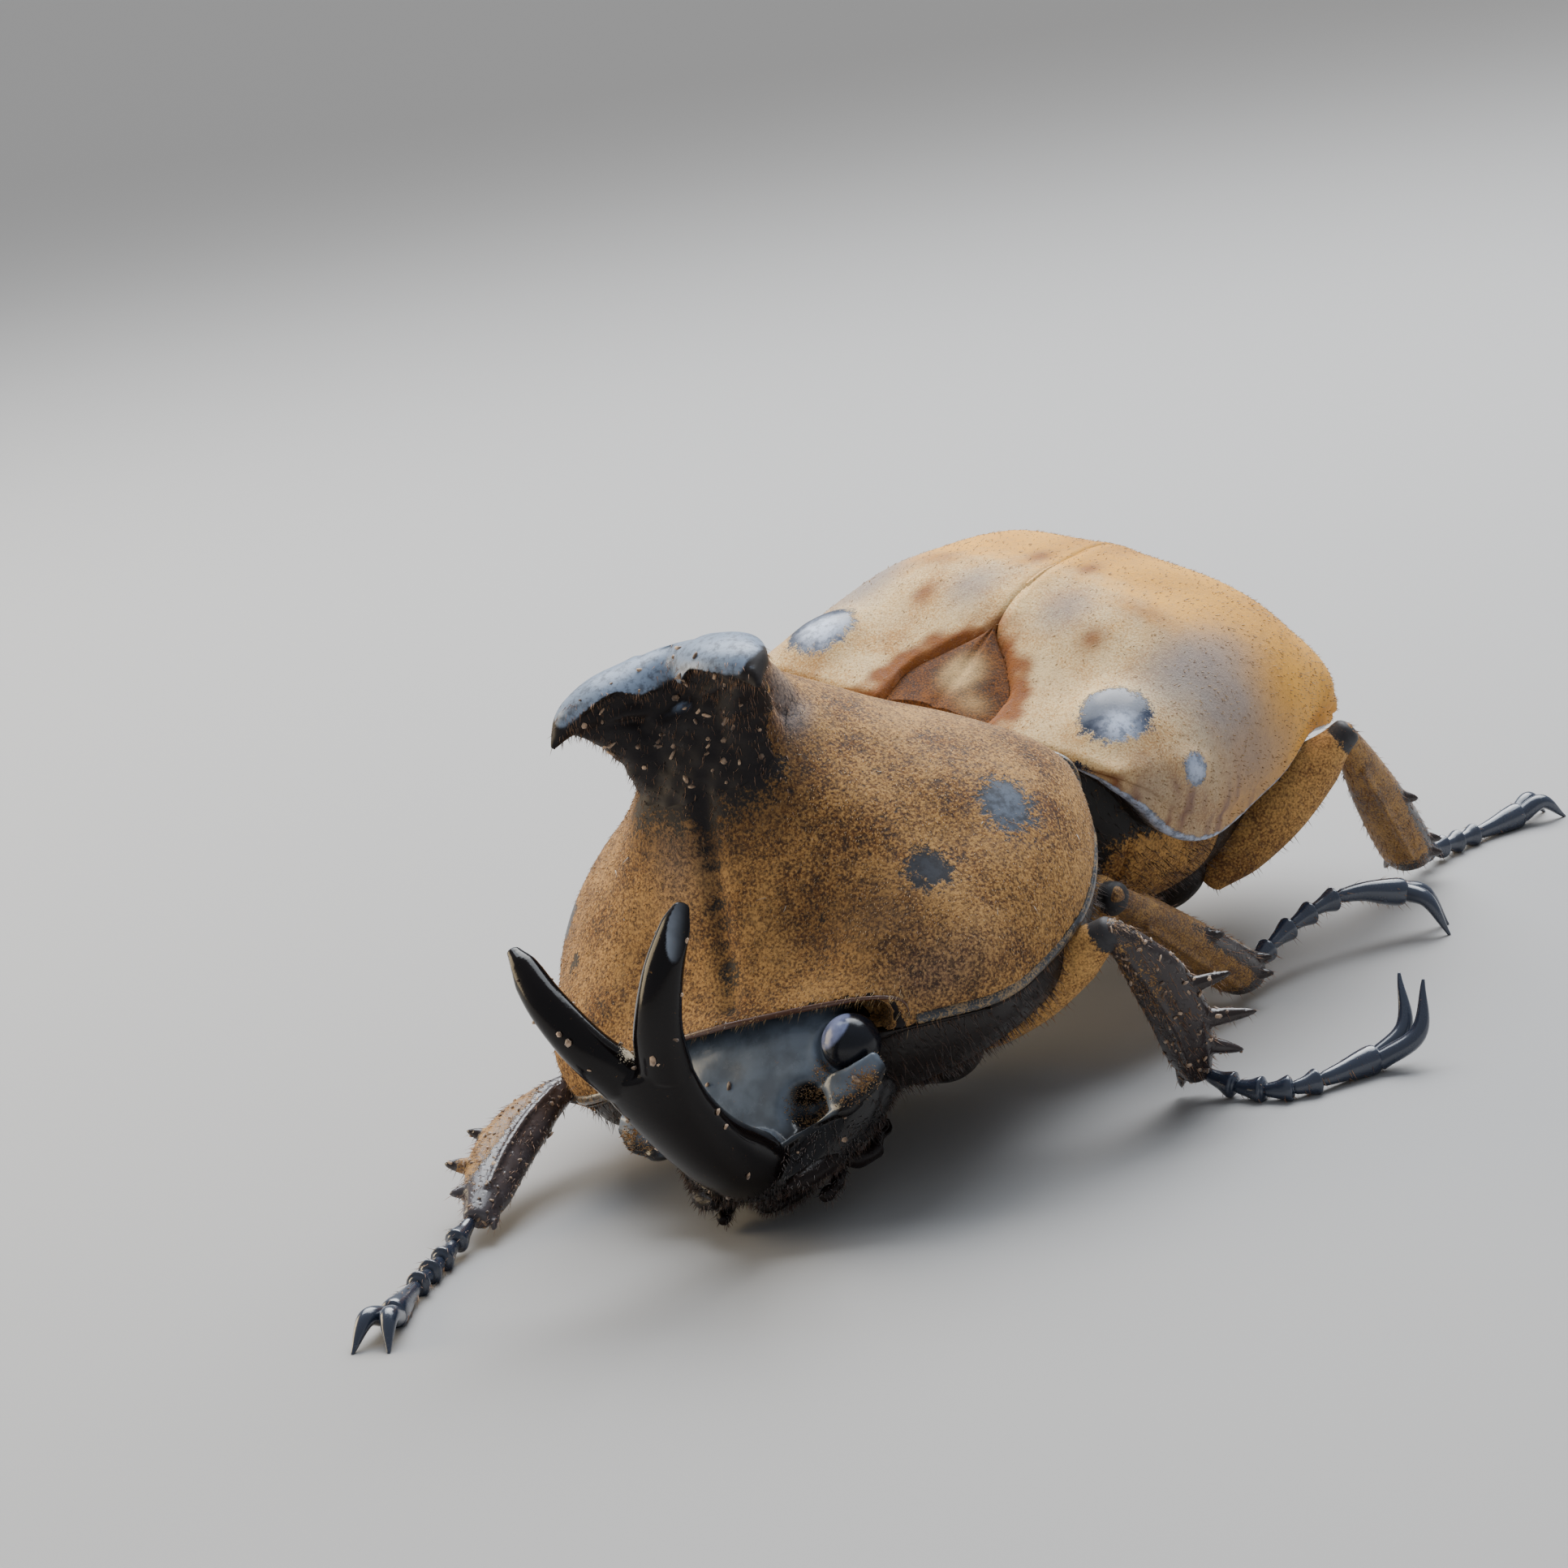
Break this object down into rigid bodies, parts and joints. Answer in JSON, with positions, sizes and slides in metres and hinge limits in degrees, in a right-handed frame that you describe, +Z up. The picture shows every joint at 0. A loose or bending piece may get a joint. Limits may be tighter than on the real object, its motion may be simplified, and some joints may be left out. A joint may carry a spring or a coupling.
{
  "type": "rhinoceros beetle",
  "caption": "Male rhinoceros beetle standing on its legs, with a forked upturned head horn, a forked horn on a domed velvety pronotum, smooth wing cases and toothed front legs.",
  "frame": {"origin": "middle of the overall bounding box, on the floor under the claws and feet", "axes": "+X towards the beetle's left side, +Y towards its hind end so that the head faces -Y, +Z up from the floor"},
  "size_m": [0.0526, 0.083, 0.0266],
  "materials": {
    "velvet": "short dense ochre pile over dark shell",
    "elytra": "tan wing cases with a fine velvety bloom",
    "horn": "finely roughened blue-black shell",
    "black": "smooth glossy blue-black shell",
    "underside": "dark brown hairy shell",
    "eye": "dark, very glossy compound eye"
  },
  "bodies": {
    "root": {"head": "black", "head_horn_stem": "black", "labium": "black", "head_horn_tine_left": "black", "eye_left": "eye", "antenna_left": "black", "mandible_left": "black", "maxilla_left": "black", "head_horn_tine_right": "black", "eye_right": "eye", "antenna_right": "black", "mandible_right": "black", "maxilla_right": "black", "pronotum": "velvet", "prosternum": "underside", "pronotal_horn": "horn", "pronotal_horn_tine_left": "horn", "pronotal_horn_tine_right": "horn", "scutellum": "velvet", "elytron_left": "elytra", "elytron_right": "elytra", "thorax": "underside", "abdomen": "underside", "pygidium": "velvet", "coxa_front_left": "underside", "femur_front_left": "velvet", "tibia_front_left": "black", "tarsus_front_left": "black", "claw_front_left": "black", "coxa_front_right": "underside", "femur_front_right": "velvet", "tibia_front_right": "black", "tarsus_front_right": "black", "claw_front_right": "black", "coxa_middle_left": "underside", "femur_middle_left": "velvet", "tibia_middle_left": "black", "tarsus_middle_left": "black", "claw_middle_left": "black", "coxa_middle_right": "underside", "femur_middle_right": "velvet", "tibia_middle_right": "black", "tarsus_middle_right": "black", "claw_middle_right": "black", "coxa_hind_left": "underside", "femur_hind_left": "velvet", "tibia_hind_left": "black", "tarsus_hind_left": "black", "claw_hind_left": "black", "coxa_hind_right": "underside", "femur_hind_right": "velvet", "tibia_hind_right": "black", "tarsus_hind_right": "black", "claw_hind_right": "black"}
  },
  "joints": []
}
